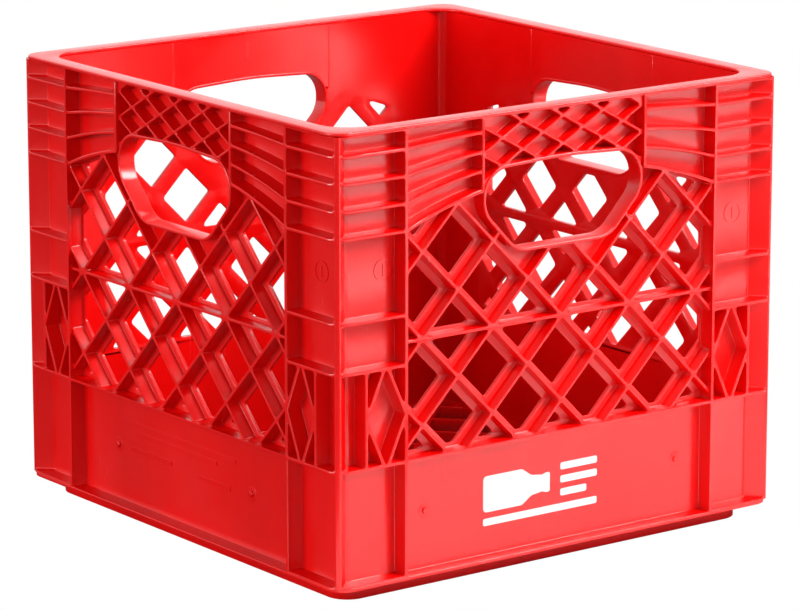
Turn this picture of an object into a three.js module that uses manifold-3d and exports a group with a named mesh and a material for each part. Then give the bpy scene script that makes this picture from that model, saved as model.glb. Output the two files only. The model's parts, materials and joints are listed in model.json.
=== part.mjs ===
// Square stacking crate for milk bottles: one injection moulding in red polyethylene.
// Millimetres, +Z up. The origin is the bottom centre; the printed front wall faces -Y.
// The moulding is divided into its natural sections, which keep a small gap to each other.
// Wall sections are drawn on the front wall: x along the wall, depth inward from the
// outer face, z up. The other three walls are the same sections turned about Z.
import * as THREE from 'three';
import { mergeVertices } from 'three/addons/utils/BufferGeometryUtils.js';
import Module from 'manifold-3d';

const wasm = await Module();
wasm.setup();

// Overall size.
const side = 330;
const half = side / 2;
const height = 277;
const cornerRadius = 12;
const gap = 0.3;

// Wall build-up, measured inward from the outer face.
const skinDepth = 10;
const wallDepth = 12;
const latticeDepth = 2;
const ribThickness = 2;
const ribHalf = ribThickness / 2;
const fineRib = 1.6;
// Ribs run this far into the skin behind them, and cutters this far past what they cut.
const bite = 0.5;
const past = 1;
// Straight bars are cut to the outline of their section from this length.
const longBar = 480;

// Heights of the horizontal features.
const rimThickness = 2.2;
const ringHeight = 9.2;
const flangeBottom = ringHeight + gap;
const flangeTop = flangeBottom + 2.2;
const wallBottom = flangeTop + gap;
const wallTop = height - rimThickness - gap;
const panelTop = 80.5;
const diamondTop = 137.7;
const midRib = 150.5;
const midRibHalf = 1.1;
const cornerRibs = [panelTop, diamondTop, 166.9, 215.8, 231.6, 247.5, 263.1];

// Places along a wall, measured from its middle.
const frameRib = 115.5;
const blockRib = 60.3;
const cornerThinRib = 143.8;
const latticeHalfPitch = 25.6;
const latticeEnd = frameRib - ribHalf - gap;
const blockEnd = blockRib + ribHalf;

// Skin left around the diamond openings, each side of a rib's middle.
const stripHalf = 5.6;
const midStripHalf = 3;
const edgeStrip = 5;
const footStrip = 2.5;
const collarStrip = 4;

// Gate marks: low round cones on the lower panel, at these places along each wall.
const markPlaces = { front: [-95, 95], right: [-76, 66], back: [-95, 95], left: [-76, 66] };
const markHeight = 46;
const markRadius = { top: 4, foot: 5 };
const markRise = 1.2;
const markProud = 1;

// Fine lattice of the block over the grip.
const blockHalfPitch = 14.9;
const blockRowPitch = 8.25;
const blockTopRow = 269.5;

// Fan ribs: height at the frame rib and at the block rib.
const fanRibs = [[215.8, 232.5], [231.6, 243.8], [247.5, 254.9], [263.1, 266.4]];
const fanSteps = 4;
// Where the curve bends, as fractions of its run and of its rise.
const fanBend = { run: 0.417, rise: 0.616 };

// Grip opening: corners of the collar's outline and the fillet at each.
const collarWall = 2;
const collarDepth = 1;
const collarCorners = [
  { x: -35, z: 192.6, r: 18 },
  { x: 35, z: 192.6, r: 18 },
  { x: 59.5, z: 218.4, r: 16 },
  { x: 59.5, z: 244.8, r: 19 },
  { x: 0, z: 247.5, r: 200 },
  { x: -59.5, z: 244.8, r: 19 },
  { x: -59.5, z: 218.4, r: 16 },
];

// Corner posts.
const postInnerRadius = 6;
const finHalf = 1.9;
const diamondFlat = 1.3;
const diamondRibHalf = 0.9;

// Rim and base.
const rimWidth = 11.5;
const rimInnerRadius = 20;
const ringInset = 12.5;
const ringWall = 3;
const ringRadius = 14;
const ringInnerRadius = 11;
const floorRadius = 10.7;
const floorFrame = 4;
const floorInnerRadius = 7;
const floorBottom = 3;
const floorBar = 2.4;
const floorPitch = 46;

const red = new THREE.MeshStandardMaterial({ color: 0xe20a0c, roughness: 0.35, metalness: 0 });

// Solids ---------------------------------------------------------------------------------

function toSolid(geometry) {
  const bare = geometry.clone();
  bare.deleteAttribute('normal');
  bare.deleteAttribute('uv');
  const merged = mergeVertices(bare, 1e-4);
  return new wasm.Manifold(new wasm.Mesh({
    numProp: 3,
    vertProperties: new Float32Array(merged.attributes.position.array),
    triVerts: new Uint32Array(merged.index.array),
  }));
}

function toGeometry(solid) {
  const mesh = solid.getMesh();
  const geometry = new THREE.BufferGeometry();
  geometry.setAttribute('position', new THREE.BufferAttribute(mesh.vertProperties, 3));
  geometry.setIndex(new THREE.BufferAttribute(mesh.triVerts, 1));
  geometry.computeVertexNormals();
  return geometry;
}

function join(solids) {
  return solids.reduce((all, next) => all.add(next));
}

function polygon(points) {
  return new THREE.Shape(points.map(([x, y]) => new THREE.Vector2(x, y)));
}

// A shape in the plan view, raised from one height to another.
function planPrism(shape, zFrom, zTo) {
  const geometry = new THREE.ExtrudeGeometry(shape, {
    depth: zTo - zFrom, bevelEnabled: false, curveSegments: 3,
  });
  return geometry.translate(0, 0, zFrom);
}

// A shape in the front wall's (x, z) plane, filling it between two depths.
function wallPrism(shape, depthFrom, depthTo) {
  const geometry = new THREE.ExtrudeGeometry(shape, {
    depth: depthTo - depthFrom, bevelEnabled: false, curveSegments: 2,
  });
  return geometry.rotateX(Math.PI / 2).translate(0, depthTo - half, 0);
}

// A straight bar in the front wall, given by its middle, slope, length and thickness.
function wallBar(x, z, slope, length, thickness, depthFrom, depthTo) {
  const bar = new THREE.BoxGeometry(length, depthTo - depthFrom, thickness);
  return bar.rotateY(-slope).translate(x, (depthFrom + depthTo) / 2 - half, z);
}

function wallBox(xFrom, xTo, zFrom, zTo, depthFrom, depthTo) {
  const box = new THREE.BoxGeometry(xTo - xFrom, depthTo - depthFrom, zTo - zFrom);
  return box.translate((xFrom + xTo) / 2, (depthFrom + depthTo) / 2 - half, (zFrom + zTo) / 2);
}

// A square with rounded corners, inset from the crate's outer outline.
function roundedSquare(inset, radius) {
  const edge = half - inset;
  const middle = edge - radius;
  const shape = new THREE.Shape();
  shape.absarc(middle, middle, radius, 0, Math.PI / 2);
  shape.absarc(-middle, middle, radius, Math.PI / 2, Math.PI);
  shape.absarc(-middle, -middle, radius, Math.PI, Math.PI * 1.5);
  shape.absarc(middle, -middle, radius, Math.PI * 1.5, Math.PI * 2);
  return shape;
}

// The collar's outline, grown or shrunk all round by an offset.
function collarOutline(offset) {
  const corners = collarCorners.map(({ x, z, r }, i) => {
    const before = collarCorners.at(i - 1);
    const after = collarCorners[(i + 1) % collarCorners.length];
    const into = new THREE.Vector2(x - before.x, z - before.z).normalize();
    const out = new THREE.Vector2(after.x - x, after.z - z).normalize();
    const turn = Math.acos(THREE.MathUtils.clamp(into.dot(out), -1, 1));
    const outward = new THREE.Vector2(into.y + out.y, -into.x - out.x).normalize();
    const at = new THREE.Vector2(x, z).addScaledVector(outward, offset / Math.cos(turn / 2));
    return { at, into, radius: r + offset, turn };
  });
  const shape = new THREE.Shape();
  for (const { at, into, radius, turn } of corners) {
    const start = at.clone().addScaledVector(into, -radius * Math.tan(turn / 2));
    const centre = start.clone().add(new THREE.Vector2(-into.y, into.x).multiplyScalar(radius));
    const begin = Math.atan2(start.y - centre.y, start.x - centre.x);
    shape.absarc(centre.x, centre.y, radius, begin, begin + turn);
  }
  return shape;
}

// Points along a fan rib's middle line, from the frame rib to the block.
function fanCurve([zFrame, zBlock]) {
  const start = new THREE.Vector2(frameRib, zFrame);
  const bend = new THREE.Vector2(
    THREE.MathUtils.lerp(frameRib, blockRib, fanBend.run),
    THREE.MathUtils.lerp(zFrame, zBlock, fanBend.rise),
  );
  const end = new THREE.Vector2(blockRib, zBlock);
  return new THREE.QuadraticBezierCurve(start, bend, end).getPoints(fanSteps);
}

// Wall sections --------------------------------------------------------------------------

// Lower panel: closed skin with a rib along its top and two low round gate marks.
function lowerPanel(places) {
  const skin = wallBox(-latticeEnd, latticeEnd, wallBottom, panelTop, skinDepth, wallDepth);
  const top = wallBox(-latticeEnd, latticeEnd, panelTop - ribHalf, panelTop + ribHalf, 0,
    wallDepth);
  const marks = places.map((x) => {
    const mark = new THREE.CylinderGeometry(markRadius.top, markRadius.foot, markRise, 16);
    return toSolid(mark.translate(x, skinDepth - half - markProud + markRise / 2, markHeight));
  });
  return join([toSolid(skin), toSolid(top), ...marks]);
}

// Diagonal ribs through the lattice's crossings, each with its wider strip of skin.
function latticeBars() {
  const bars = [];
  for (let step = -9; step <= 9; step += 2) {
    const x = step * latticeHalfPitch;
    for (const slope of [Math.PI / 4, -Math.PI / 4]) {
      bars.push(wallBar(x, midRib + latticeHalfPitch, slope, longBar, ribThickness,
        latticeDepth, skinDepth + bite));
      bars.push(wallBar(x, midRib + latticeHalfPitch, slope, longBar, 2 * stripHalf,
        skinDepth, wallDepth));
    }
  }
  return bars.map(toSolid);
}

function sideStrips(zFrom, zTo) {
  return [-1, 1].map((s) => toSolid(wallBox(
    s > 0 ? latticeEnd - edgeStrip : -latticeEnd,
    s > 0 ? latticeEnd : -latticeEnd + edgeStrip,
    zFrom, zTo, skinDepth, wallDepth,
  )));
}

// Open lattice between the lower panel and the middle rib.
function lowerLattice() {
  const zFrom = panelTop + ribHalf + gap;
  const zTo = midRib + midRibHalf;
  const ends = latticeEnd;
  const region = toSolid(wallBox(-ends, ends, zFrom, zTo, 0, wallDepth));
  const middle = toSolid(wallBox(-ends, ends, midRib - midRibHalf, zTo, 1, wallDepth));
  const middleStrip = toSolid(
    wallBox(-ends, ends, midRib - midStripHalf, zTo, skinDepth, wallDepth));
  const foot = toSolid(wallBox(-ends, ends, zFrom, zFrom + footStrip, skinDepth, wallDepth));
  const all = join([...latticeBars(), middle, middleStrip, foot, ...sideStrips(zFrom, zTo)]);
  return all.intersect(region);
}

// Open lattice from the middle rib up to the fan bays and around the grip collar.
function upperLattice() {
  const zFrom = midRib + midRibHalf + gap;
  const under = fanCurve(fanRibs[0]).map(({ x, y }) => [x, y - midRibHalf - gap]);
  const right = [[latticeEnd, zFrom], ...under.map(([x, z]) => [Math.min(x, latticeEnd), z])];
  const left = right.map(([x, z]) => [-x, z]).reverse();
  const region = toSolid(wallPrism(polygon([...right, ...left]), 0, wallDepth));
  const foot = toSolid(
    wallBox(-latticeEnd, latticeEnd, zFrom, midRib + midStripHalf, skinDepth, wallDepth));
  const edges = [right.slice(1), left.slice(0, -1)].map((line) => {
    const lower = line.map(([x, z]) => [x, z - edgeStrip]).reverse();
    return toSolid(wallPrism(polygon([...line, ...lower]), skinDepth, wallDepth));
  });
  const collarEdge = toSolid(wallPrism(collarOutline(collarStrip), skinDepth, wallDepth));
  const clear = toSolid(wallPrism(collarOutline(gap), -past, wallDepth + past));
  const all = join([...latticeBars(), foot, ...edges, collarEdge, ...sideStrips(zFrom, fanRibs[0][0])]);
  return all.intersect(region).subtract(clear);
}

// Grip collar: a short rounded tunnel through the wall that the hand goes into.
function gripCollar() {
  const outer = toSolid(wallPrism(collarOutline(0), collarDepth, wallDepth));
  const inner = toSolid(wallPrism(collarOutline(-collarWall), 0, wallDepth + past));
  return outer.subtract(inner);
}

// Block over the grip: closed skin with a flat lattice of fine ribs between two tall ribs.
function gripBlock() {
  const zFrom = fanRibs[0][1] - ribHalf;
  const slope = Math.atan2(blockRowPitch, blockHalfPitch);
  const bars = [];
  for (let step = -10; step <= 10; step += 2) {
    for (const lean of [slope, -slope]) {
      bars.push(wallBar(step * blockHalfPitch, blockTopRow, lean, longBar, fineRib,
        latticeDepth, skinDepth + bite));
    }
  }
  const outline = toSolid(wallBox(-blockEnd, blockEnd, zFrom, wallTop, 0, wallDepth));
  const skin = toSolid(wallBox(-blockEnd, blockEnd, zFrom, wallTop, skinDepth, wallDepth));
  const ends = [-blockRib, blockRib].map((x) => toSolid(
    wallBox(x - ribHalf, x + ribHalf, zFrom, wallTop, 0, wallDepth)));
  const clear = toSolid(wallPrism(collarOutline(gap), -past, wallDepth + past));
  return join([skin, ...ends, ...bars.map(toSolid)]).intersect(outline).subtract(clear);
}

// Fan bay: closed skin with curved ribs that rise from the frame rib to the block.
function fanBay(sign) {
  const inner = blockEnd + gap;
  const clip = (points) => points.map(([x, z]) => [
    sign * THREE.MathUtils.clamp(x, inner, latticeEnd), z]);
  const lowest = fanCurve(fanRibs[0]).map(({ x, y }) => [x, y - ribHalf]);
  const skinShape = polygon(clip([[frameRib, wallTop], ...lowest, [blockRib, wallTop]]));
  const ribs = fanRibs.map((ends) => {
    const line = fanCurve(ends);
    const lower = line.map(({ x, y }) => [x, y - ribHalf]);
    const upper = line.map(({ x, y }) => [x, y + ribHalf]).reverse();
    return toSolid(wallPrism(polygon(clip([...lower, ...upper])), 0, skinDepth + bite));
  });
  return join([toSolid(wallPrism(skinShape, skinDepth, wallDepth)), ...ribs]);
}

// Corner posts ---------------------------------------------------------------------------

// Pockets between the corner's ribs, for the end of the front wall on one side.
function cornerPockets(sign) {
  const outside = -half - past;
  const skin = skinDepth - half;
  const plan = (inner) => polygon([
    [sign * inner, outside], [sign * inner, skin],
    [sign * (-skin - finHalf), skin], [sign * (-outside - finHalf), outside],
  ]);
  const cuts = [];
  const levels = [wallBottom - 2 * ribHalf, ...cornerRibs, wallTop + 2 * ribHalf];
  for (let i = 0; i + 1 < levels.length; i += 1) {
    const isDiamond = levels[i] === panelTop;
    const inner = isDiamond ? cornerThinRib + fineRib / 2 : frameRib + ribHalf;
    cuts.push(toSolid(planPrism(plan(inner), levels[i] + ribHalf, levels[i + 1] - ribHalf)));
  }
  const middle = (cornerThinRib + frameRib) / 2;
  const reach = (cornerThinRib - frameRib) / 2;
  const zMiddle = (panelTop + diamondTop) / 2;
  const rise = (diamondTop - panelTop) / 2;
  const diamond = (grow) => polygon([
    [diamondFlat, rise + grow * 2], [-diamondFlat, rise + grow * 2], [-reach - grow, 0],
    [-diamondFlat, -rise - grow * 2], [diamondFlat, -rise - grow * 2], [reach + grow, 0],
  ].map(([x, z]) => [sign * middle + x, zMiddle + z]));
  const box = wallBox(sign * middle - reach + ribHalf, sign * middle + reach - ribHalf,
    panelTop + ribHalf, diamondTop - ribHalf, -past, skinDepth);
  const rib = toSolid(wallPrism(diamond(diamondRibHalf), -2 * past, skinDepth + past))
    .subtract(toSolid(wallPrism(diamond(-diamondRibHalf), -3 * past, skinDepth + 2 * past)));
  cuts.push(toSolid(box).subtract(rib));
  cuts.push(toSolid(wallPrism(diamond(-stripHalf), -past, wallDepth + past)));
  return cuts;
}

// Corner post: an L of skin with a fin up its corner and ribs across both faces.
function cornerPost() {
  const outer = toSolid(planPrism(roundedSquare(0, cornerRadius), wallBottom, wallTop));
  const inner = toSolid(planPrism(roundedSquare(wallDepth, postInnerRadius), wallBottom - past,
    wallTop + past));
  const reach = half - frameRib + ribHalf;
  const box = new THREE.BoxGeometry(reach, reach, height);
  const region = toSolid(box.translate(reach / 2 - half, reach / 2 - half, height / 2));
  const quarter = new THREE.Matrix4().makeRotationZ(-Math.PI / 2);
  const turned = (solid) => toSolid(toGeometry(solid).applyMatrix4(quarter));
  let post = outer.subtract(inner).intersect(region);
  for (const cut of cornerPockets(-1)) post = post.subtract(cut);
  for (const cut of cornerPockets(1)) post = post.subtract(turned(cut));
  return post;
}

// Rim and base ---------------------------------------------------------------------------

function squareRing(inset, radius, width, innerRadius, zFrom, zTo) {
  const outer = toSolid(planPrism(roundedSquare(inset, radius), zFrom, zTo));
  const hole = planPrism(roundedSquare(inset + width, innerRadius), zFrom - past, zTo + past);
  return outer.subtract(toSolid(hole));
}

// Floor: a frame inside the stacking ring with a diagonal grid of upright bars.
function floorGrid() {
  const inset = ringInset + ringWall + gap;
  const frame = squareRing(inset, floorRadius, floorFrame, floorInnerRadius, floorBottom,
    flangeTop);
  const middle = floorFrame / 2;
  const region = toSolid(planPrism(roundedSquare(inset + middle, floorRadius - middle),
    floorBottom, flangeTop));
  const bars = [];
  for (let step = -7; step <= 7; step += 1) {
    for (const turn of [Math.PI / 4, -Math.PI / 4]) {
      const bar = new THREE.BoxGeometry(longBar, floorBar, flangeTop - floorBottom);
      bar.rotateZ(turn).translate(step * floorPitch, 0, (flangeTop + floorBottom) / 2);
      bars.push(toSolid(bar));
    }
  }
  return join(bars).intersect(region).add(frame);
}

// Assembly -------------------------------------------------------------------------------

function named(name, solid) {
  const mesh = new THREE.Mesh(toGeometry(solid), red);
  mesh.name = name;
  return mesh;
}

const crate = new THREE.Group();
crate.add(named('rim', squareRing(0, cornerRadius, rimWidth, rimInnerRadius,
  height - rimThickness, height)));
crate.add(named('base_flange', squareRing(0, cornerRadius, ringInset + ringWall, floorRadius,
  flangeBottom, flangeTop)));
crate.add(named('stacking_ring', squareRing(ringInset, ringRadius, ringWall, ringInnerRadius,
  0, ringHeight)));
crate.add(named('floor_grid', floorGrid()));

const wallSections = {
  lower_lattice: lowerLattice(),
  upper_lattice: upperLattice(),
  grip_collar: gripCollar(),
  grip_block: gripBlock(),
  fan_bay_left: fanBay(-1),
  fan_bay_right: fanBay(1),
};
const post = cornerPost();
const walls = ['front', 'right', 'back', 'left'];
const corners = ['front_left', 'front_right', 'back_right', 'back_left'];
walls.forEach((wall, i) => {
  const turned = new THREE.Group();
  turned.rotation.z = i * Math.PI / 2;
  turned.add(named(`${wall}_lower_panel`, lowerPanel(markPlaces[wall])));
  for (const [section, solid] of Object.entries(wallSections)) {
    turned.add(named(`${wall}_${section}`, solid));
  }
  turned.add(named(`corner_post_${corners[i]}`, post));
  crate.add(turned);
});

export default crate;
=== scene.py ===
import bmesh
import bpy
import json
import math
from mathutils import Matrix, Vector

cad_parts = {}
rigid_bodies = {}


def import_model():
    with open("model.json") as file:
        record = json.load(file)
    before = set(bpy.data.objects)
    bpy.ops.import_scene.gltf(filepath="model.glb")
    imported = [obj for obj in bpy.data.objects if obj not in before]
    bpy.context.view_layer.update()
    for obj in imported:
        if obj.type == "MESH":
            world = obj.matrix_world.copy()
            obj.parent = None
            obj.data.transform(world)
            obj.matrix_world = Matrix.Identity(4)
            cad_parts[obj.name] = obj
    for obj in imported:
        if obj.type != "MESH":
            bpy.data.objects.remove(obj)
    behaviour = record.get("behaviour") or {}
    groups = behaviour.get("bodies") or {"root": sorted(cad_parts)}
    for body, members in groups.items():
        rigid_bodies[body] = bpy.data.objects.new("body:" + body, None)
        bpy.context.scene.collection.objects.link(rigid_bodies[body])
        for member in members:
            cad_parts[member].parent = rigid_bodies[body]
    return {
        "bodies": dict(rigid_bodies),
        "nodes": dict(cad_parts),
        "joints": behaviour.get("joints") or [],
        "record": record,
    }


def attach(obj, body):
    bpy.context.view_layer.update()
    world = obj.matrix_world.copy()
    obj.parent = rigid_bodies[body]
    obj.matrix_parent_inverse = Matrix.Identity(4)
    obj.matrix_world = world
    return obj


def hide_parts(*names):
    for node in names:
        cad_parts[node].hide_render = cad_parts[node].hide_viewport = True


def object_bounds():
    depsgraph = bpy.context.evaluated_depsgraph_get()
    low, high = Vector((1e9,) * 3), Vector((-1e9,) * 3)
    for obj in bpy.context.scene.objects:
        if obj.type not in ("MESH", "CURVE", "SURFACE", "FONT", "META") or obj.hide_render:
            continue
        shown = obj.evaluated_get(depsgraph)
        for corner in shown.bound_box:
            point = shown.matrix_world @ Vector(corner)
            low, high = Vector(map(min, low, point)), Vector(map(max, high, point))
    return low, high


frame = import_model()
cad_low, cad_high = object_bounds()

# Studio: the crate stands on a sheet under soft light. The camera looks down on the corner
# between the left wall and the printed front wall from two and a half metres.
look_down = 13.18
heading = 36.82
camera_data = bpy.data.cameras.new("camera")
camera_data.sensor_width = 36
camera_data.lens = 194.3
camera_data.clip_end = 50
camera = bpy.data.objects.new("camera", camera_data)
camera.location = (-1.5528, -2.0790, 0.7336)
camera.rotation_euler = (math.radians(90 - look_down), 0, math.radians(-heading))
bpy.context.scene.collection.objects.link(camera)
bpy.context.scene.camera = camera
bpy.context.scene.view_settings.view_transform = "Standard"


def stage_sheet(name, middle, width, depth, height, grey):
    """A level sheet for the studio: burnt out to white where the camera sees it, and
    throwing back only a share of its light on the crate."""
    bm = bmesh.new()
    bmesh.ops.create_grid(bm, x_segments=1, y_segments=1, size=0.5)
    bmesh.ops.scale(bm, verts=bm.verts, vec=(width, depth, 1))
    data = bpy.data.meshes.new(name)
    bm.to_mesh(data)
    level = bpy.data.objects.new(name, data)
    level.location = (*middle, cad_low.z + height)
    bpy.context.scene.collection.objects.link(level)
    paint = bpy.data.materials.new(name)
    paint.use_nodes = True
    nodes, links = paint.node_tree.nodes, paint.node_tree.links
    shader = nodes["Principled BSDF"]
    shader.inputs["Base Color"].default_value = (grey, grey, grey, 1)
    shader.inputs["Roughness"].default_value = 0.9
    shader.inputs["Specular IOR Level"].default_value = 0
    white = nodes.new("ShaderNodeEmission")
    path = nodes.new("ShaderNodeLightPath")
    mix = nodes.new("ShaderNodeMixShader")
    links.new(path.outputs["Is Camera Ray"], mix.inputs["Fac"])
    links.new(shader.outputs["BSDF"], mix.inputs[1])
    links.new(white.outputs["Emission"], mix.inputs[2])
    links.new(mix.outputs["Shader"], nodes["Material Output"].inputs["Surface"])
    data.materials.append(paint)


stage_sheet("studio_floor", (0, 0), 40, 40, -0.001, 0.12)
stage_sheet("near_card", (0.4, -0.28), 1.4, 0.22, 0, 0.9)
stage_sheet("far_card", (0.6, -1.15), 1.6, 1.06, 0, 0.9)

# The room round the crate is bright low down, where the white sweep rises behind, and fades
# to dim overhead. The strength of its light falls with the height of the view.
world = bpy.data.worlds.new("studio")
world.use_nodes = True
sky, sky_links = world.node_tree.nodes, world.node_tree.links
look = sky.new("ShaderNodeTexCoord")
split = sky.new("ShaderNodeSeparateXYZ")
rise = sky.new("ShaderNodeMapRange")
rise.inputs["From Min"].default_value = 0.22
rise.inputs["From Max"].default_value = 0.85
rise.inputs["To Min"].default_value = 1.4
rise.inputs["To Max"].default_value = 0.08
sky["Background"].inputs["Color"].default_value = (1, 1, 1, 1)
sky_links.new(look.outputs["Generated"], split.inputs["Vector"])
sky_links.new(split.outputs["Z"], rise.inputs["Value"])
sky_links.new(rise.outputs["Result"], sky["Background"].inputs["Strength"])
bpy.context.scene.world = world


def softbox(name, place, aim, width, height, watts):
    """A soft rectangular light at a place, turned towards a point."""
    data = bpy.data.lights.new(name, "AREA")
    data.shape = "RECTANGLE"
    data.size = width
    data.size_y = height
    data.energy = watts
    light = bpy.data.objects.new(name, data)
    light.location = place
    light.rotation_euler = (Vector(aim) - Vector(place)).to_track_quat("-Z", "Y").to_euler()
    bpy.context.scene.collection.objects.link(light)


softbox("key", (0.75, -1.15, 1.25), (0.45, -0.75, 0), 1.3, 0.8, 66)
softbox("left", (-2.5, 0.5, 0.55), (0, 0, 0.2), 1.2, 0.8, 36)
softbox("front", (0.9, -2.7, 0.6), (0, 0, 0.2), 1.2, 0.8, 2)
softbox("overhead", (0.05, 0.1, 1.05), (0, 0, 0), 0.5, 0.5, 3)

# Red polyethylene: every section of the crate is the same glossy moulding. Its skin has a
# faint orange peel, slow flow marks from the gates and fine scuffs from stacking.


def moulding_group():
    """Node group: the moulding's colour, roughness and surface height in millimetres."""
    group = bpy.data.node_groups.new("moulded_skin", "ShaderNodeTree")
    face = group.interface
    for label, kind, value in (
        ("Colour", "NodeSocketColor", (0.66, 0.001, 0.001, 1)),
        ("Gloss roughness", "NodeSocketFloat", 0.22),
        ("Scuffs", "NodeSocketFloat", 0.3),
    ):
        face.new_socket(name=label, in_out="INPUT", socket_type=kind).default_value = value
    face.new_socket(name="Colour", in_out="OUTPUT", socket_type="NodeSocketColor")
    face.new_socket(name="Roughness", in_out="OUTPUT", socket_type="NodeSocketFloat")
    face.new_socket(name="Height", in_out="OUTPUT", socket_type="NodeSocketFloat")
    nodes, links = group.nodes, group.links
    given = nodes.new("NodeGroupInput")
    made = nodes.new("NodeGroupOutput")
    place = nodes.new("ShaderNodeTexCoord")

    def noise(scale, detail, stretch=(1, 1, 1)):
        mapping = nodes.new("ShaderNodeMapping")
        mapping.inputs["Scale"].default_value = stretch
        links.new(place.outputs["Object"], mapping.inputs["Vector"])
        texture = nodes.new("ShaderNodeTexNoise")
        texture.inputs["Scale"].default_value = scale
        texture.inputs["Detail"].default_value = detail
        links.new(mapping.outputs["Vector"], texture.inputs["Vector"])
        return texture.outputs["Fac"]

    def spread(value, low, high, to_low, to_high):
        node = nodes.new("ShaderNodeMapRange")
        for slot, number in zip((1, 2, 3, 4), (low, high, to_low, to_high)):
            node.inputs[slot].default_value = number
        links.new(value, node.inputs[0])
        return node.outputs[0]

    def maths(kind, a, b):
        node = nodes.new("ShaderNodeMath")
        node.operation = kind
        for slot, value in zip((0, 1), (a, b)):
            if isinstance(value, (int, float)):
                node.inputs[slot].default_value = value
            else:
                links.new(value, node.inputs[slot])
        return node.outputs[0]

    # Flow marks: broad, upright and very faint changes of pigment.
    flow = spread(noise(16, 3, (1, 1, 0.35)), 0.3, 0.7, 0.9, 1.06)
    tint = nodes.new("ShaderNodeVectorMath")
    tint.operation = "SCALE"
    links.new(given.outputs["Colour"], tint.inputs[0])
    links.new(flow, tint.inputs["Scale"])
    links.new(tint.outputs[0], made.inputs["Colour"])
    # Scuffs: short scratches where a stretched noise peaks, inside broader worn patches.
    scratch = spread(noise(260, 4, (1, 1, 0.08)), 0.62, 0.72, 0, 1)
    patches = spread(noise(11, 2), 0.5, 0.68, 0, 1)
    worn = maths("MULTIPLY", maths("MULTIPLY", scratch, patches), given.outputs["Scuffs"])
    cloud = spread(noise(35, 3), 0.3, 0.7, -0.03, 0.05)
    rough = maths("ADD", maths("ADD", given.outputs["Gloss roughness"], cloud),
                  maths("MULTIPLY", worn, 0.35))
    links.new(rough, made.inputs["Roughness"])
    # Orange peel a few millimetres across, and the scratches cut slightly into it.
    peel = maths("MULTIPLY", noise(420, 1), 0.004)
    sink = maths("MULTIPLY", noise(60, 1), 0.03)
    height = maths("SUBTRACT", maths("ADD", peel, sink), maths("MULTIPLY", worn, 0.01))
    links.new(height, made.inputs["Height"])
    return group


moulded_skin = moulding_group()


def red_plastic(name, roughness, scuffs):
    """The red moulding's material with its own gloss and amount of wear."""
    material = bpy.data.materials.new(name)
    material.use_nodes = True
    nodes, links = material.node_tree.nodes, material.node_tree.links
    shader = nodes["Principled BSDF"]
    shader.inputs["IOR"].default_value = 1.52
    skin = nodes.new("ShaderNodeGroup")
    skin.node_tree = moulded_skin
    skin.inputs["Gloss roughness"].default_value = roughness
    skin.inputs["Scuffs"].default_value = scuffs
    bump = nodes.new("ShaderNodeBump")
    bump.inputs["Distance"].default_value = 0.001
    bump.inputs["Strength"].default_value = 1
    links.new(skin.outputs["Colour"], shader.inputs["Base Color"])
    links.new(skin.outputs["Roughness"], shader.inputs["Roughness"])
    links.new(skin.outputs["Height"], bump.inputs["Height"])
    links.new(bump.outputs["Normal"], shader.inputs["Normal"])
    return material


wall_red = red_plastic("wall_red", 0.22, 0.12)
rim_red = red_plastic("rim_red", 0.25, 0.4)

# Lattice below the middle rib: thin deep ribs cross at forty-five degrees in front of a
# skin that keeps a strip behind each rib and is open between them. Moulded with the wall.
# Lengths are in millimetres; a depth is measured inward from the wall's outer plane.
half = (cad_high.x - cad_low.x) * 1000 / 2
frame_rib = 115.5
panel_top = 80.5
middle_rib = 150.5
lattice_step = 25.6
lattice_top = 2.0
skin_depth = 10.0
back_depth = 12.0
half_rib = 1.0
strip_half = 5.4
edge_strip = 3.2
edge_round = 0.6
foot_round = 0.3
draft = 0.1
lip_round = 0.4
hole_draft = 0.01
pocket_corner = 1.9
hole_corner = 2.6
corner_steps = 5
smallest_cell = 0.35
straight_turn = 0.001
corner_turn = 0.3
weld = 0.003
to_metres = 0.001
smooth_below = math.radians(30)
# Ribs cross the lattice's middle line at every second step, past both ends of the wall.
crossings = range(-9, 10, 2)
pocket_clear = half_rib - edge_round + pocket_corner
hole_clear = hole_corner - lip_round
walls = ("front", "right", "back", "left")


def sheet(left, right, bottom, top):
    """A flat face on the front wall's outer plane, facing out, in millimetres."""
    bm = bmesh.new()
    bmesh.ops.create_grid(bm, x_segments=1, y_segments=1, size=0.5)
    bmesh.ops.scale(bm, verts=bm.verts, vec=(right - left, top - bottom, 1))
    bmesh.ops.rotate(bm, verts=bm.verts, matrix=Matrix.Rotation(math.pi / 2, 3, "X"))
    middle = ((left + right) / 2, -half, (bottom + top) / 2)
    bmesh.ops.translate(bm, verts=bm.verts, vec=middle)
    return bm


def score(bm, x, z, angle, where=None):
    """Cuts the sheet along a line through (x, z) at an angle."""
    faces = [f for f in bm.faces if where is None or where(f.calc_center_median())]
    geometry = {part for face in faces for part in (face, *face.edges, *face.verts)}
    bmesh.ops.bisect_plane(bm, geom=list(geometry), dist=0.001, plane_co=(x, 0, z),
                           plane_no=(-math.sin(angle), 0, math.cos(angle)))


def clear_rib(bm, x, z, angle, clear, where=None):
    """Clears a strip to both sides of a line: the place of a rib between two cells."""
    across_x, across_z = -math.sin(angle), math.cos(angle)
    for shift in (clear, -clear):
        score(bm, x + across_x * shift, z + across_z * shift, angle, where)
    strip = []
    for face in bm.faces:
        spot = face.calc_center_median()
        away = abs((spot.x - x) * across_x + (spot.z - z) * across_z)
        if away < clear and (where is None or where(spot)):
            strip.append(face)
    bmesh.ops.delete(bm, geom=strip, context="FACES")


def clear_diagonals(bm, clear):
    """Clears the places of the lattice's ribs, which rise and fall at forty-five degrees."""
    for i in crossings:
        for slope in (math.pi / 4, -math.pi / 4):
            clear_rib(bm, i * lattice_step, middle_rib + lattice_step, slope, clear)


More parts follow.
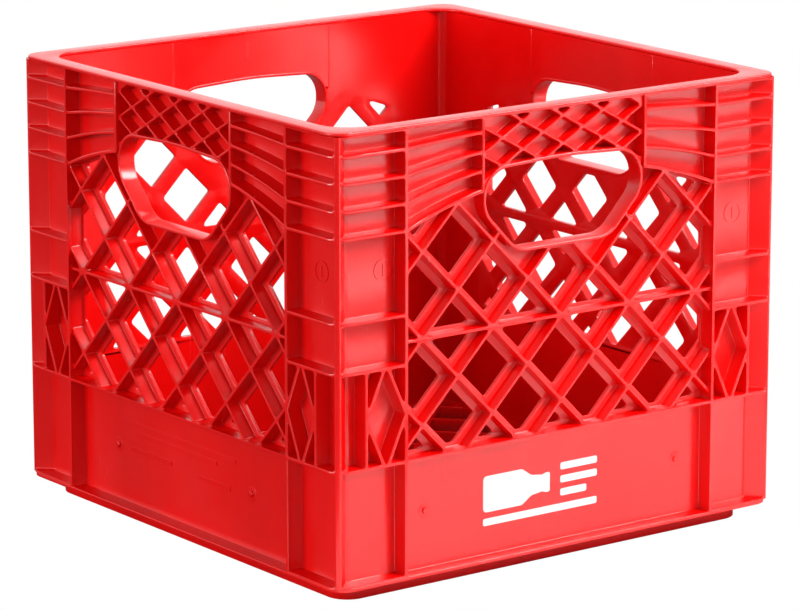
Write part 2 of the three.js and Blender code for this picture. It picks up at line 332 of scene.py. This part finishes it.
def drop(bm, unwanted):
    """Removes the faces whose middle the test picks."""
    faces = [f for f in bm.faces if unwanted(f.calc_center_median())]
    bmesh.ops.delete(bm, geom=faces, context="FACES")


def join(bm):
    """Joins the faces of each island into one."""
    inner = [e for e in bm.edges if len(e.link_faces) == 2]
    bmesh.ops.dissolve_edges(bm, edges=inner, use_verts=False)
    straight = [v for v in bm.verts if len(v.link_edges) == 2
                and abs(v.calc_edge_angle(0)) < straight_turn]
    bmesh.ops.dissolve_verts(bm, verts=straight)
    return bm


def bring(bm, other):
    """Adds another mesh's faces to bm and gives them back."""
    data = bpy.data.meshes.new("spare")
    other.to_mesh(data)
    before = set(bm.faces)
    bm.from_mesh(data)
    bpy.data.meshes.remove(data)
    return [face for face in bm.faces if face not in before]


def round_out(bm, faces, corner):
    """Grows each cell by its corner radius, then rounds its corners by that radius. Slivers
    left over between the ribs are dropped."""
    grown = []
    for face in faces:
        if face.calc_area() * 2 / face.calc_perimeter() < smallest_cell:
            bmesh.ops.delete(bm, geom=[face], context="FACES")
            continue
        ring = bmesh.ops.inset_individual(
            bm, faces=[face], thickness=-corner, use_even_offset=True)
        bmesh.ops.delete(bm, geom=ring["faces"], context="FACES")
        corners = [loop.vert for loop in face.loops
                   if loop.is_convex and loop.vert.calc_edge_angle() > corner_turn]
        for vert in corners:
            reach = corner * math.tan(vert.calc_edge_angle() / 2)
            made = bmesh.ops.bevel(
                bm, geom=[vert], offset=reach, offset_type="OFFSET",
                affect="VERTICES", segments=corner_steps, profile=0.5, material=-1)
            face = made["verts"][0].link_faces[0]
        grown.append(face)
    return grown


def rounding(radius, steps, hollow):
    """(inward, deeper) steps round a quarter circle: over an edge, or into a hollow."""
    turns = [math.pi / 2 * i / steps for i in range(steps + 1)]
    across = [radius * (1 - math.cos(t) if hollow else math.sin(t)) for t in turns]
    down = [radius * (math.sin(t) if hollow else 1 - math.cos(t)) for t in turns]
    return [(across[i + 1] - across[i], down[i + 1] - down[i]) for i in range(steps)]


def sink(bm, faces, steps):
    """Gives pockets or holes their rounded and sloping sides, in (inward, deeper) steps."""
    for inward, deeper in steps:
        bmesh.ops.inset_individual(
            bm, faces=faces, thickness=inward, depth=-deeper, use_even_offset=True)


def outline_edges(faces):
    return list({edge for face in faces for edge in face.edges})


def fill(bm, edges, facing):
    """Closes the flat area between outer and inner outlines."""
    bmesh.ops.triangle_fill(bm, use_beauty=True, edges=edges, normal=(0, facing, 0))


def holds(face, spot):
    """True if a flat face on the front wall has the spot inside its outline."""
    inside = False
    points = [v.co for v in face.verts]
    for a, b in zip(points, points[1:] + points[:1]):
        if (a.z > spot.z) != (b.z > spot.z):
            if spot.x < a.x + (b.x - a.x) * (spot.z - a.z) / (b.z - a.z):
                inside = not inside
    return inside


def copy_face(bm, face):
    copied = bmesh.ops.duplicate(bm, geom=[face])["geom"]
    return next(g for g in copied if isinstance(g, bmesh.types.BMFace))


def push(bm, faces, depth):
    for face in faces:
        bmesh.ops.translate(bm, verts=face.verts, vec=(0, depth, 0))


def mould(bm, cells, top, floor, back, holes=None):
    """Makes a flat sheet into a wall section: ribs between the cells stand on a skin with
    holes in it. The ribs' top, the skin's front (floor) and its back are depths."""
    front = bm.faces[:][0]
    rear = copy_face(bm, front)
    push(bm, [rear], back)
    push(bm, [front], top)
    bmesh.ops.bridge_loops(bm, edges=front.edges[:] + rear.edges[:])
    front_edges, rear_edges = front.edges[:], rear.edges[:]
    bmesh.ops.delete(bm, geom=[front], context="FACES_ONLY")
    pockets = round_out(bm, bring(bm, cells), pocket_corner)
    push(bm, pockets, top)
    fill(bm, front_edges + outline_edges(pockets), -1)
    wall = floor - top - edge_round - foot_round
    sink(bm, pockets, rounding(edge_round, 3, False) + [(draft, wall)]
         + rounding(foot_round, 3, True))
    if holes:
        mouths = round_out(bm, bring(bm, holes), hole_corner)
        backs = [copy_face(bm, face) for face in mouths]
        bmesh.ops.reverse_faces(bm, faces=backs)
        push(bm, mouths, floor)
        push(bm, backs, back)
        for pocket in pockets:
            inner = [f for f in mouths if holds(pocket, f.calc_center_median())]
            if inner:
                edges = pocket.edges[:] + outline_edges(inner)
                bmesh.ops.delete(bm, geom=[pocket], context="FACES_ONLY")
                fill(bm, edges, -1)
        bmesh.ops.delete(bm, geom=[rear], context="FACES_ONLY")
        fill(bm, rear_edges + outline_edges(backs), 1)
        half_way = (back - floor) / 2 - lip_round
        for ends in (mouths, backs):
            sink(bm, ends, rounding(lip_round, 2, False) + [(hole_draft, half_way)])
        bmesh.ops.delete(bm, geom=mouths + backs, context="FACES_ONLY")
    bmesh.ops.remove_doubles(bm, verts=bm.verts, dist=weld)
    bmesh.ops.recalc_face_normals(bm, faces=bm.faces)
    return bm


def add_piece(name, bm, material, *nodes, turn=0, slot="crate_red"):
    """Turns a piece to its wall, puts it in the crate in metres and hides the parts it
    replaces.
    """
    data = bpy.data.meshes.new(name)
    copy = bm.copy()
    bmesh.ops.rotate(copy, verts=copy.verts, matrix=Matrix.Rotation(turn, 3, "Z"))
    bmesh.ops.scale(copy, verts=copy.verts, vec=(to_metres,) * 3)
    copy.to_mesh(data)
    copy.free()
    data.shade_smooth()
    data.set_sharp_from_angle(angle=smooth_below)
    data.materials.append(material)
    piece = bpy.data.objects.new(name, data)
    bpy.context.scene.collection.objects.link(piece)
    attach(piece, "root")
    if nodes:
        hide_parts(*nodes)
    return piece


def add_to_walls(section, bm, material, *parts):
    """Puts one copy of a wall section on each of the four walls."""
    for i, wall in enumerate(walls):
        nodes = [f"{wall}_{part}" for part in parts]
        add_piece(f"{wall}_{section}", bm, material, *nodes, turn=i * math.pi / 2)


low_area = sheet(-frame_rib, frame_rib, panel_top, middle_rib)
low_cells = sheet(-frame_rib + pocket_clear, frame_rib - pocket_clear,
                  panel_top + pocket_clear, middle_rib - pocket_clear)
clear_diagonals(low_cells, pocket_clear)
low_holes = sheet(-frame_rib + edge_strip + hole_clear, frame_rib - edge_strip - hole_clear,
                  panel_top + edge_strip + hole_clear, middle_rib - edge_strip - hole_clear)
clear_diagonals(low_holes, strip_half + hole_clear)
low_lattice = mould(low_area, join(low_cells), lattice_top, skin_depth, back_depth,
                    join(low_holes))
add_to_walls("low_lattice", low_lattice, wall_red, "lower_lattice")

# Lattice above the middle rib: the same ribs, cut off by the lowest curved rib at the top
# corners and by the collar of the grip in the middle. Moulded with the wall.
# Curved ribs run from the frame rib to the block over the grip: (height, height) at those.
fan_ribs = ((215.8, 232.5), (231.6, 243.8), (247.5, 254.9), (263.1, 266.4))
fan_steps = 6
fan_bow = 0.4
fan_gap = 0.3
block_rib = 60.3
high_sheet_top = 240
# The grip's corners (x, z), and how far the rounding of each reaches along its sides.
grip_corners = ((-35, 192.6, 8), (35, 192.6, 8), (59.5, 218.4, 6.8), (59.5, 244.8, 17.5),
                (0, 247.5, 14), (-59.5, 244.8, 17.5), (-59.5, 218.4, 6.8))
# Above this height nothing is left of the lattice between the collar's sides.
grip_shoulder = 226
collar_strip = 3.4
collar_bite = 1


def fan_height(ends, x):
    """Height of a curved rib at x: it rises fast at the frame rib, then flattens."""
    along = (frame_rib - abs(x)) / (frame_rib - block_rib)
    return ends[0] + (ends[1] - ends[0]) * ((1 + fan_bow) * along - fan_bow * along * along)


def fan_line(bm, ends, shift, sign):
    """Cuts a sheet along a curved rib, shifted up or down, in straight steps."""
    reach = frame_rib - block_rib
    spots = [sign * (frame_rib - reach * i / fan_steps) for i in range(fan_steps + 1)]
    for x in spots[1:-1]:
        score(bm, x, 0, math.pi / 2)
    for x, to_x in zip(spots, spots[1:]):
        z, to_z = (fan_height(ends, spot) + shift for spot in (x, to_x))
        low, high = sorted((x, to_x))
        score(bm, x, z, math.atan2(to_z - z, to_x - x), lambda spot: low < spot.x < high)


def grip_face(grow, segments=4):
    """The grip's outline with rounded corners, grown by an amount."""
    bm = bmesh.new()
    face = bm.faces.new([bm.verts.new((x, -half, z)) for x, z, _ in grip_corners])
    face.normal_update()
    for vert, (_, _, reach) in zip(bm.verts[:], grip_corners):
        bmesh.ops.bevel(bm, geom=[vert], offset=reach, offset_type="OFFSET",
                        affect="VERTICES", segments=segments, profile=0.5, material=-1)
    if grow:
        ring = bmesh.ops.inset_individual(
            bm, faces=bm.faces[:], thickness=-grow, use_even_offset=True)
        bmesh.ops.delete(bm, geom=ring["faces"], context="FACES")
    return bm


def cut_grip(bm, grow):
    """Takes the grip's outline, grown by an amount, out of a sheet."""
    loop = [(v.co.x, v.co.z) for v in grip_face(grow).faces[:][0].verts]
    sides = list(zip(loop, loop[1:] + loop[:1]))
    for (x, z), (to_x, to_z) in sides:
        score(bm, x, z, math.atan2(to_z - z, to_x - x))
    drop(bm, lambda spot: all(
        (to_x - x) * (spot.z - z) - (to_z - z) * (spot.x - x) > 0
        for (x, z), (to_x, to_z) in sides))


def over_fan(spot, shift):
    """True for a spot above the lowest curved rib or beside the block."""
    if abs(spot.x) < block_rib:
        return spot.z > fan_ribs[0][1] + shift
    return spot.z > fan_height(fan_ribs[0], spot.x) + shift


def high_sheet(frame, middle, fan, collar):
    """The upper lattice's area, pulled in by an amount at each of its edges."""
    bm = sheet(-frame_rib + frame, frame_rib - frame, middle_rib + middle, high_sheet_top)
    score(bm, 0, fan_ribs[0][1] - fan, 0, lambda spot: abs(spot.x) < frame_rib)
    for sign in (-1, 1):
        score(bm, sign * block_rib, 0, math.pi / 2)
        fan_line(bm, fan_ribs[0], -fan, sign)
    drop(bm, lambda spot: over_fan(spot, -fan))
    cut_grip(bm, collar)
    widest = grip_corners[2][0] + collar
    drop(bm, lambda spot: abs(spot.x) < widest and spot.z > grip_shoulder)
    return bm


high_area = join(high_sheet(0, 0, 0, -collar_bite))
high_cells = high_sheet(pocket_clear, pocket_clear, pocket_clear + fan_gap,
                        pocket_clear - collar_bite)
clear_diagonals(high_cells, pocket_clear)
high_holes = high_sheet(edge_strip + hole_clear, edge_strip + hole_clear,
                        edge_strip + hole_clear, collar_strip + hole_clear)
clear_diagonals(high_holes, strip_half + hole_clear)
high_lattice = mould(high_area, join(high_cells), lattice_top, skin_depth, back_depth,
                     join(high_holes))
add_to_walls("high_lattice", high_lattice, wall_red, "upper_lattice")

# Lower panels: the plain closed band of each wall, set back behind the ribs that frame it.
# Two round gate marks, where the plastic entered the mould, stand slightly proud of it.
flange_middle = 10.6
panel_front = 0.05
gate_places = {"front": (-95, 95), "right": (-76, 66), "back": (-95, 95), "left": (-76, 66)}
gate_height = 46
# Each mark is a low disc with a small pip on it: (radius, how far it stands proud).
gate_discs = ((4.7, 0.15), (2.1, 1.3))
gate_taper = 0.2
gate_soft = 0.4
to_upright = Matrix.Rotation(math.pi / 2, 3, "X")
panel_area = sheet(-frame_rib, frame_rib, flange_middle, panel_top + half_rib)
panel_cells = sheet(-frame_rib + pocket_clear, frame_rib - pocket_clear,
                    flange_middle + pocket_clear, panel_top - pocket_clear)
plain_panel = mould(panel_area, panel_cells, panel_front, skin_depth, back_depth)
for i, wall in enumerate(walls):
    panel = plain_panel.copy()
    for x in gate_places[wall]:
        for radius, proud in gate_discs:
            mark = bmesh.new()
            bmesh.ops.create_cone(mark, cap_ends=True, segments=32, radius1=radius,
                                  radius2=radius - gate_taper, depth=2 * proud)
            rims = [e for e in mark.edges if all(v.co.z > 0 for v in e.verts)]
            bmesh.ops.bevel(mark, geom=rims, offset=proud * gate_soft, offset_type="OFFSET",
                            affect="EDGES", segments=3, profile=0.5, material=-1)
            bmesh.ops.rotate(mark, verts=mark.verts, matrix=to_upright)
            place = (x, skin_depth - half, gate_height)
            bmesh.ops.translate(mark, verts=mark.verts, vec=place)
            bring(panel, mark)
    add_piece(f"{wall}_panel", panel, wall_red, f"{wall}_lower_panel", turn=i * math.pi / 2)

# Print: one layer of white ink on the front panel, put on after moulding. It shows a milk
# bottle on its side, three plain bars beside its neck and one long bar under both.
ink = bpy.data.materials.new("white_ink")
ink.use_nodes = True
ink_shader = ink.node_tree.nodes["Principled BSDF"]
ink_shader.inputs["Base Color"].default_value = (0.5, 0.495, 0.49, 1)
ink_wear = ink.node_tree.nodes.new("ShaderNodeTexNoise")
ink_wear.inputs["Scale"].default_value = 900
ink_range = ink.node_tree.nodes.new("ShaderNodeMapRange")
ink_range.inputs["To Min"].default_value = 0.35
ink_range.inputs["To Max"].default_value = 0.55
ink_place = ink.node_tree.nodes.new("ShaderNodeTexCoord")
ink.node_tree.links.new(ink_place.outputs["Object"], ink_wear.inputs["Vector"])
ink.node_tree.links.new(ink_wear.outputs["Fac"], ink_range.inputs["Value"])
ink.node_tree.links.new(ink_range.outputs["Result"], ink_shader.inputs["Roughness"])
ink_film = 0.08
ink_corner = 1.2
ink_share = 0.9
# The bottle lies on its side: (distance from its base, half its width) along one edge.
bottle_edge = ((0, 9.5), (1.5, 11), (29, 11), (36, 6.2), (45, 5), (46, 6), (50, 6))
bottle_base, bottle_middle = -52, 48
# Each bar: (left end, right end, height).
ink_bars = ((-52, 34, 31), (6, 34, 56), (6, 34, 48), (6, 26, 40))
ink_bar_half = 2.2


def printed(bm):
    """Lays a flat outline on the panel's skin as a film of ink with soft corners."""
    bmesh.ops.bevel(bm, geom=bm.verts[:], offset=ink_corner, offset_type="OFFSET",
                    affect="VERTICES", segments=corner_steps, profile=0.5, material=-1)
    push(bm, bm.faces[:], skin_depth - ink_film)
    bmesh.ops.solidify(bm, geom=bm.faces[:], thickness=ink_film * ink_share)
    bmesh.ops.recalc_face_normals(bm, faces=bm.faces)
    return bm


drawing = bmesh.new()
bottle = bmesh.new()
near = [bottle.verts.new((bottle_base + x, -half, bottle_middle + z)) for x, z in bottle_edge]
far = [bottle.verts.new((bottle_base + x, -half, bottle_middle - z)) for x, z in bottle_edge]
outline = bottle.faces.new(far + near[::-1])
outline.normal_update()
bring(drawing, printed(bottle))
for left, right, height in ink_bars:
    bar = sheet(left, right, height - ink_bar_half, height + ink_bar_half)
    bring(drawing, printed(bar))
add_piece("panel_print", drawing, ink, slot=None)

# Raised marks on the left wall's panel: plain bars where a notice would stand. They are
# moulded with the wall and stand less than half a millimetre proud of it.
notice_bars = ((-72, 50, 62), (-52, 30, 56.5), (-62, -18, 46), (10, 44, 44))
notice_half = 1.4
notice_proud = 0.45
notice_thick = 0.8
notice = bmesh.new()
for left, right, height in notice_bars:
    bar = sheet(left, right, height - notice_half, height + notice_half)
    push(bar, bar.faces[:], skin_depth - notice_proud)
    bmesh.ops.solidify(bar, geom=bar.faces[:], thickness=notice_thick)
    bmesh.ops.recalc_face_normals(bar, faces=bar.faces)
    bring(notice, bar)
add_piece("left_notice", notice, wall_red, turn=-math.pi / 2)

# Fan bays: closed pockets between the curved ribs that tie the corner posts to the block
# over the grip. Their skin is the wall's own. Moulded with the wall.
wall_top = 274.8
fan_top = 0.4
fan_back = back_depth + 0.015
fan_sheet_bottom = 212


def bay_sheet(sign, clear):
    """The fan bays' area on one side of the grip, down to the underside of the lowest rib,
    or their cells when cleared along the ribs."""
    low, high = sorted((sign * frame_rib, sign * block_rib))
    foot = clear if clear else -half_rib
    bm = sheet(low + clear, high - clear, fan_sheet_bottom,
               wall_top - max(clear - half_rib, 0))
    fan_line(bm, fan_ribs[0], foot, sign)
    drop(bm, lambda spot: spot.z < fan_height(fan_ribs[0], spot.x) + foot)
    if clear:
        for ends in fan_ribs[1:]:
            for shift in (-clear, clear):
                fan_line(bm, ends, shift, sign)
            drop(bm, lambda spot: abs(spot.z - fan_height(ends, spot.x)) < clear)
    return join(bm)


for sign, hand in ((-1, "left"), (1, "right")):
    bays = mould(bay_sheet(sign, 0), bay_sheet(sign, pocket_clear), fan_top, skin_depth,
                 fan_back)
    add_to_walls(f"fan_bays_{hand}", bays, wall_red, f"fan_bay_{hand}")

# Grip block: low diamond pockets over the grip, closed at the back, which stiffen the rim
# where the hand lifts. A full-depth rib stands at each side. Moulded with the wall.
block_step = 14.9
block_rise = 8.25
block_row = 269.5
block_bottom = 234
block_half_rib = 0.8
block_clear = block_half_rib - edge_round + pocket_corner
block_top = 2.0
side_rib_foot = 232
side_rib_depth = back_depth + 0.06


def block_sheet(clear):
    """The block's area, or its diamond cells when cleared along the ribs."""
    bm = sheet(-block_rib + clear, block_rib - clear, block_bottom + clear, wall_top - clear)
    cut_grip(bm, clear - collar_bite)
    return bm


block_area = join(block_sheet(0))
block_cells = block_sheet(block_clear)
for i in crossings:
    for slope in (block_rise, -block_rise):
        clear_rib(block_cells, i * block_step, block_row + block_rise,
                  math.atan2(slope, block_step), block_clear)
grip_block = mould(block_area, join(block_cells), block_top, skin_depth, back_depth)
for x in (-block_rib, block_rib):
    side_rib = sheet(x - half_rib, x + half_rib, side_rib_foot, wall_top)
    bmesh.ops.solidify(side_rib, geom=side_rib.faces[:], thickness=side_rib_depth)
    bmesh.ops.recalc_face_normals(side_rib, faces=side_rib.faces)
    bmesh.ops.bevel(side_rib, geom=side_rib.edges[:], offset=edge_round,
                    offset_type="OFFSET", affect="EDGES", segments=3, profile=0.5,
                    material=-1)
    bring(grip_block, side_rib)
add_to_walls("block", grip_block, wall_red, "grip_block")

# Grip collar: a smooth raised wall round the hand opening, from just behind the ribs'
# fronts through to the inside of the crate, with soft edges for the fingers.
collar_top = 1.0
collar_wall = 2.0
collar_back = 12.3
collar_soft = 0.7
sharp_turn = 1.2
collar = grip_face(0, segments=10)
inner = collar.faces[:]
bmesh.ops.inset_individual(collar, faces=inner, thickness=collar_wall, use_even_offset=True)
bmesh.ops.delete(collar, geom=inner, context="FACES_ONLY")
bmesh.ops.translate(collar, verts=collar.verts, vec=(0, collar_top, 0))
grown = bmesh.ops.extrude_face_region(collar, geom=collar.faces[:])["geom"]
bmesh.ops.translate(collar, verts=[g for g in grown if isinstance(g, bmesh.types.BMVert)],
                    vec=(0, collar_back - collar_top, 0))
bmesh.ops.recalc_face_normals(collar, faces=collar.faces)
corner_edges = [e for e in collar.edges if e.calc_face_angle(0) > sharp_turn]
bmesh.ops.bevel(collar, geom=corner_edges, offset=collar_soft, offset_type="OFFSET",
                affect="EDGES", segments=4, profile=0.5, material=-1)
add_to_walls("collar", collar, wall_red, "grip_collar")

# Corner posts: two skins that meet in a round corner, crossed by level ribs, with a diamond
# opening low on each side and a heavy fin down the corner. Each is built flat, with two
# round mould-date marks, and then bent round the corner.
post_inset = half - frame_rib
post_levels = (80.5, 137.7, 166.9, 215.8, 231.6, 247.5, 263.1)
post_bottom = 11.7
post_back = back_depth + 0.03
bay_low, bay_high = 80.5, 137.7
bay_side = 21.2
bay_flat = 1.3
bay_edge = 2
bay_strip = 4.4
bay_core = 4
fin_half = 2.0
fin_proud = 0.5
fin_depth = 4
fin_round = 0.9
level_edge_below = 100
date_places = (-27.6, 40)
date_height = 193
date_radius = 6.5
date_line = 0.7
date_sunk = 0.3
hand_width, hand_length = 0.8, 7
bend_start = 19.0
bend_flat = 3.0
bend_radius = 10
bend_tightening = 0.4
bend_cuts = 8
bend_cut_step = 2.35


def in_bay(spot):
    return bay_low < spot.z < bay_high


def bay_ribs(bm, clear, sides):
    """Clears the diamond opening's ribs on both sides of the post."""
    middle = (bay_side + post_inset) / 2
    waist = (bay_low + bay_high) / 2
    for sign in (-1, 1):
        if sides:
            clear_rib(bm, sign * bay_side, 0, math.pi / 2, sides, in_bay)
        for x, flat in ((bay_side, -bay_flat), (post_inset, bay_flat)):
            for tip in (bay_low, bay_high):
                rise, run = tip - waist, middle + flat - x
                slope = math.atan2(rise, sign * run)
                beside = lambda spot: (in_bay(spot) and spot.x * sign > bay_side
                                       and (spot.z - waist) * rise > 0)
                clear_rib(bm, sign * x, waist, slope, clear, beside)


def bend(bm):
    """Bends a flat post round the front right corner, each depth by its own radius."""
    for i in range(-bend_cuts, bend_cuts + 1):
        parts = bm.faces[:] + bm.edges[:] + bm.verts[:]
        bmesh.ops.bisect_plane(bm, geom=parts, dist=0.0001,
                               plane_co=(i * bend_cut_step, 0, 0), plane_no=(1, 0, 0))
    for vert in bm.verts:
        away, depth = abs(vert.co.x), vert.co.y + half
        radius = bend_radius - bend_tightening * depth
        centre = radius + depth
        arc = math.pi / 4 * radius
        length = bend_start - centre + arc
        if away >= bend_start:
            run = away - bend_start + length
        elif away > bend_flat:
            run = bend_flat + (away - bend_flat) * (length - bend_flat) / (
                bend_start - bend_flat)
        else:
            run = away
        if run > arc:
            along, inset = centre + run - arc, depth
        else:
            turn = math.pi / 4 - run / radius
            along = centre - radius * math.sin(turn)
            inset = centre - radius * math.cos(turn)
        if vert.co.x > 0:
            along, inset = inset, along
        vert.co.x = half - along
        vert.co.y = -half + inset


post_area = sheet(-post_inset - half_rib, post_inset + half_rib, post_bottom, wall_top)
post_cells = sheet(-post_inset + pocket_clear, post_inset - pocket_clear,
                   post_bottom + pocket_clear, wall_top - pocket_clear)
clear_rib(post_cells, 0, 0, math.pi / 2, pocket_clear + fin_half - half_rib)
for level in post_levels:
    clear_rib(post_cells, 0, level, 0, pocket_clear)
bay_ribs(post_cells, pocket_clear, pocket_clear)
post_holes = sheet(-post_inset, post_inset, bay_low + bay_edge + hole_clear,
                   bay_high - bay_edge - hole_clear)
bay_ribs(post_holes, hole_clear + bay_strip, 0)
drop(post_holes, lambda spot: abs(spot.x) < bay_side)
join(post_holes)
drop(post_holes, lambda spot: abs(abs(spot.x) - (bay_side + post_inset) / 2) > bay_core)
corner_post = mould(post_area, join(post_cells), 0, skin_depth, post_back, post_holes)
fin = sheet(-fin_half, fin_half, post_bottom, wall_top)
bmesh.ops.translate(fin, verts=fin.verts, vec=(0, -fin_proud, 0))
bmesh.ops.solidify(fin, geom=fin.faces[:], thickness=fin_depth)
bmesh.ops.recalc_face_normals(fin, faces=fin.faces)
upright_edges = [e for e in fin.edges if e.calc_length() > level_edge_below]
bmesh.ops.bevel(fin, geom=upright_edges, offset=fin_round, offset_type="OFFSET",
                affect="EDGES", segments=4, profile=0.5, material=-1)
bring(corner_post, fin)
for x in date_places:
    ring = bmesh.new()
    bmesh.ops.create_circle(ring, cap_ends=True, segments=40, radius=date_radius)
    disc = ring.faces[:]
    bmesh.ops.inset_individual(ring, faces=disc, thickness=date_line, use_even_offset=True)
    bmesh.ops.delete(ring, geom=disc, context="FACES_ONLY")
    hand = bmesh.new()
    bmesh.ops.create_grid(hand, x_segments=1, y_segments=1, size=0.5)
    bmesh.ops.scale(hand, verts=hand.verts, vec=(hand_width, hand_length, 1))
    bring(ring, hand)
    bmesh.ops.solidify(ring, geom=ring.faces[:], thickness=-date_line)
    bmesh.ops.recalc_face_normals(ring, faces=ring.faces)
    bmesh.ops.rotate(ring, verts=ring.verts, matrix=to_upright)
    place = (x, skin_depth - half + date_sunk, date_height)
    bmesh.ops.translate(ring, verts=ring.verts, vec=place)
    bring(corner_post, ring)
bend(corner_post)
corners = ("front_right", "back_right", "back_left", "front_left")
for i, corner in enumerate(corners):
    add_piece(f"post_{corner}", corner_post, wall_red, f"corner_post_{corner}",
              turn=i * math.pi / 2)

# Rim, bottom flange and stacking ring: square rings with round corners. The rim is flat and
# smooth to the hand; the ring under the flange drops inside the rim of the crate below.


def square_ring(outer, outer_radius, inner, inner_radius, bottom, top, soft):
    """A square ring with round corners and softened edges."""
    bm = bmesh.new()
    for size, radius in ((outer, outer_radius), (inner, inner_radius)):
        loop = bmesh.new()
        bmesh.ops.create_grid(loop, x_segments=1, y_segments=1, size=size)
        for vert in loop.verts[:]:
            bmesh.ops.bevel(loop, geom=[vert], offset=radius, offset_type="OFFSET",
                            affect="VERTICES", segments=12, profile=0.5, material=-1)
        bring(bm, loop)
    edges = bm.edges[:]
    bmesh.ops.delete(bm, geom=bm.faces[:], context="FACES_ONLY")
    bmesh.ops.bridge_loops(bm, edges=edges)
    bmesh.ops.translate(bm, verts=bm.verts, vec=(0, 0, bottom))
    grown = bmesh.ops.extrude_face_region(bm, geom=bm.faces[:])["geom"]
    bmesh.ops.translate(bm, verts=[g for g in grown if isinstance(g, bmesh.types.BMVert)],
                        vec=(0, 0, top - bottom))
    bmesh.ops.recalc_face_normals(bm, faces=bm.faces)
    sharp = [e for e in bm.edges if e.calc_face_angle(0) > sharp_turn]
    bmesh.ops.bevel(bm, geom=sharp, offset=soft, offset_type="OFFSET", affect="EDGES",
                    segments=4, profile=0.5, material=-1)
    return bm


rim_height = cad_high.z * 1000
rim = square_ring(outer=half, outer_radius=12, inner=half - 11.5, inner_radius=20,
                  bottom=wall_top, top=rim_height, soft=0.7)
add_piece("rim_top", rim, rim_red, "rim")
flange = square_ring(outer=half, outer_radius=12, inner=half - 12.5, inner_radius=10.7,
                     bottom=9.5, top=11.7, soft=0.5)
add_piece("bottom_flange", flange, wall_red, "base_flange")
lower_ring = square_ring(outer=half - 12.5, outer_radius=14, inner=half - 15.5,
                         inner_radius=11, bottom=0, top=9.6, soft=0.6)
add_piece("ring_below", lower_ring, wall_red, "stacking_ring")

# Floor: an open grid of upright bars that cross on the diagonal, inside the stacking ring.
# Bottles stand on it and milk, water and ice drain through. Moulded with the ring.
floor_half = half - 15
floor_corner = 11
floor_bottom, floor_top = 3.0, 11.7
floor_step = 46
floor_bar_half = 0.8
floor_draft = 0.05
bar_clear = floor_bar_half + hole_corner
grid = sheet(-floor_half, floor_half, -floor_half, floor_half)
grid_cells = sheet(-floor_half + bar_clear, floor_half - bar_clear,
                   -floor_half + bar_clear, floor_half - bar_clear)
for i in range(-7, 8):
    for slope in (math.pi / 4, -math.pi / 4):
        clear_rib(grid_cells, i * floor_step, 0, slope, bar_clear)
for vert in grid.verts[:]:
    bmesh.ops.bevel(grid, geom=[vert], offset=floor_corner, offset_type="OFFSET",
                    affect="VERTICES", segments=8, profile=0.5, material=-1)
front = grid.faces[:][0]
rear = copy_face(grid, front)
bar_depth = floor_top - floor_bottom
push(grid, [rear], bar_depth)
bmesh.ops.bridge_loops(grid, edges=front.edges[:] + rear.edges[:])
front_edges, rear_edges = front.edges[:], rear.edges[:]
bmesh.ops.delete(grid, geom=[front, rear], context="FACES_ONLY")
mouths = round_out(grid, bring(grid, join(grid_cells)), hole_corner)
backs = [copy_face(grid, face) for face in mouths]
bmesh.ops.reverse_faces(grid, faces=backs)
push(grid, backs, bar_depth)
fill(grid, front_edges + outline_edges(mouths), -1)
fill(grid, rear_edges + outline_edges(backs), 1)
for ends in (mouths, backs):
    sink(grid, ends,
         rounding(lip_round, 2, False) + [(floor_draft, bar_depth / 2 - lip_round)])
bmesh.ops.delete(grid, geom=mouths + backs, context="FACES_ONLY")
bmesh.ops.remove_doubles(grid, verts=grid.verts, dist=weld)
bmesh.ops.recalc_face_normals(grid, faces=grid.faces)
bmesh.ops.translate(grid, verts=grid.verts, vec=(0, half, 0))
bmesh.ops.rotate(grid, verts=grid.verts, matrix=Matrix.Rotation(-math.pi / 2, 3, "X"))
bmesh.ops.translate(grid, verts=grid.verts, vec=(0, 0, floor_top))
add_piece("floor_bars", grid, wall_red, "floor_grid")
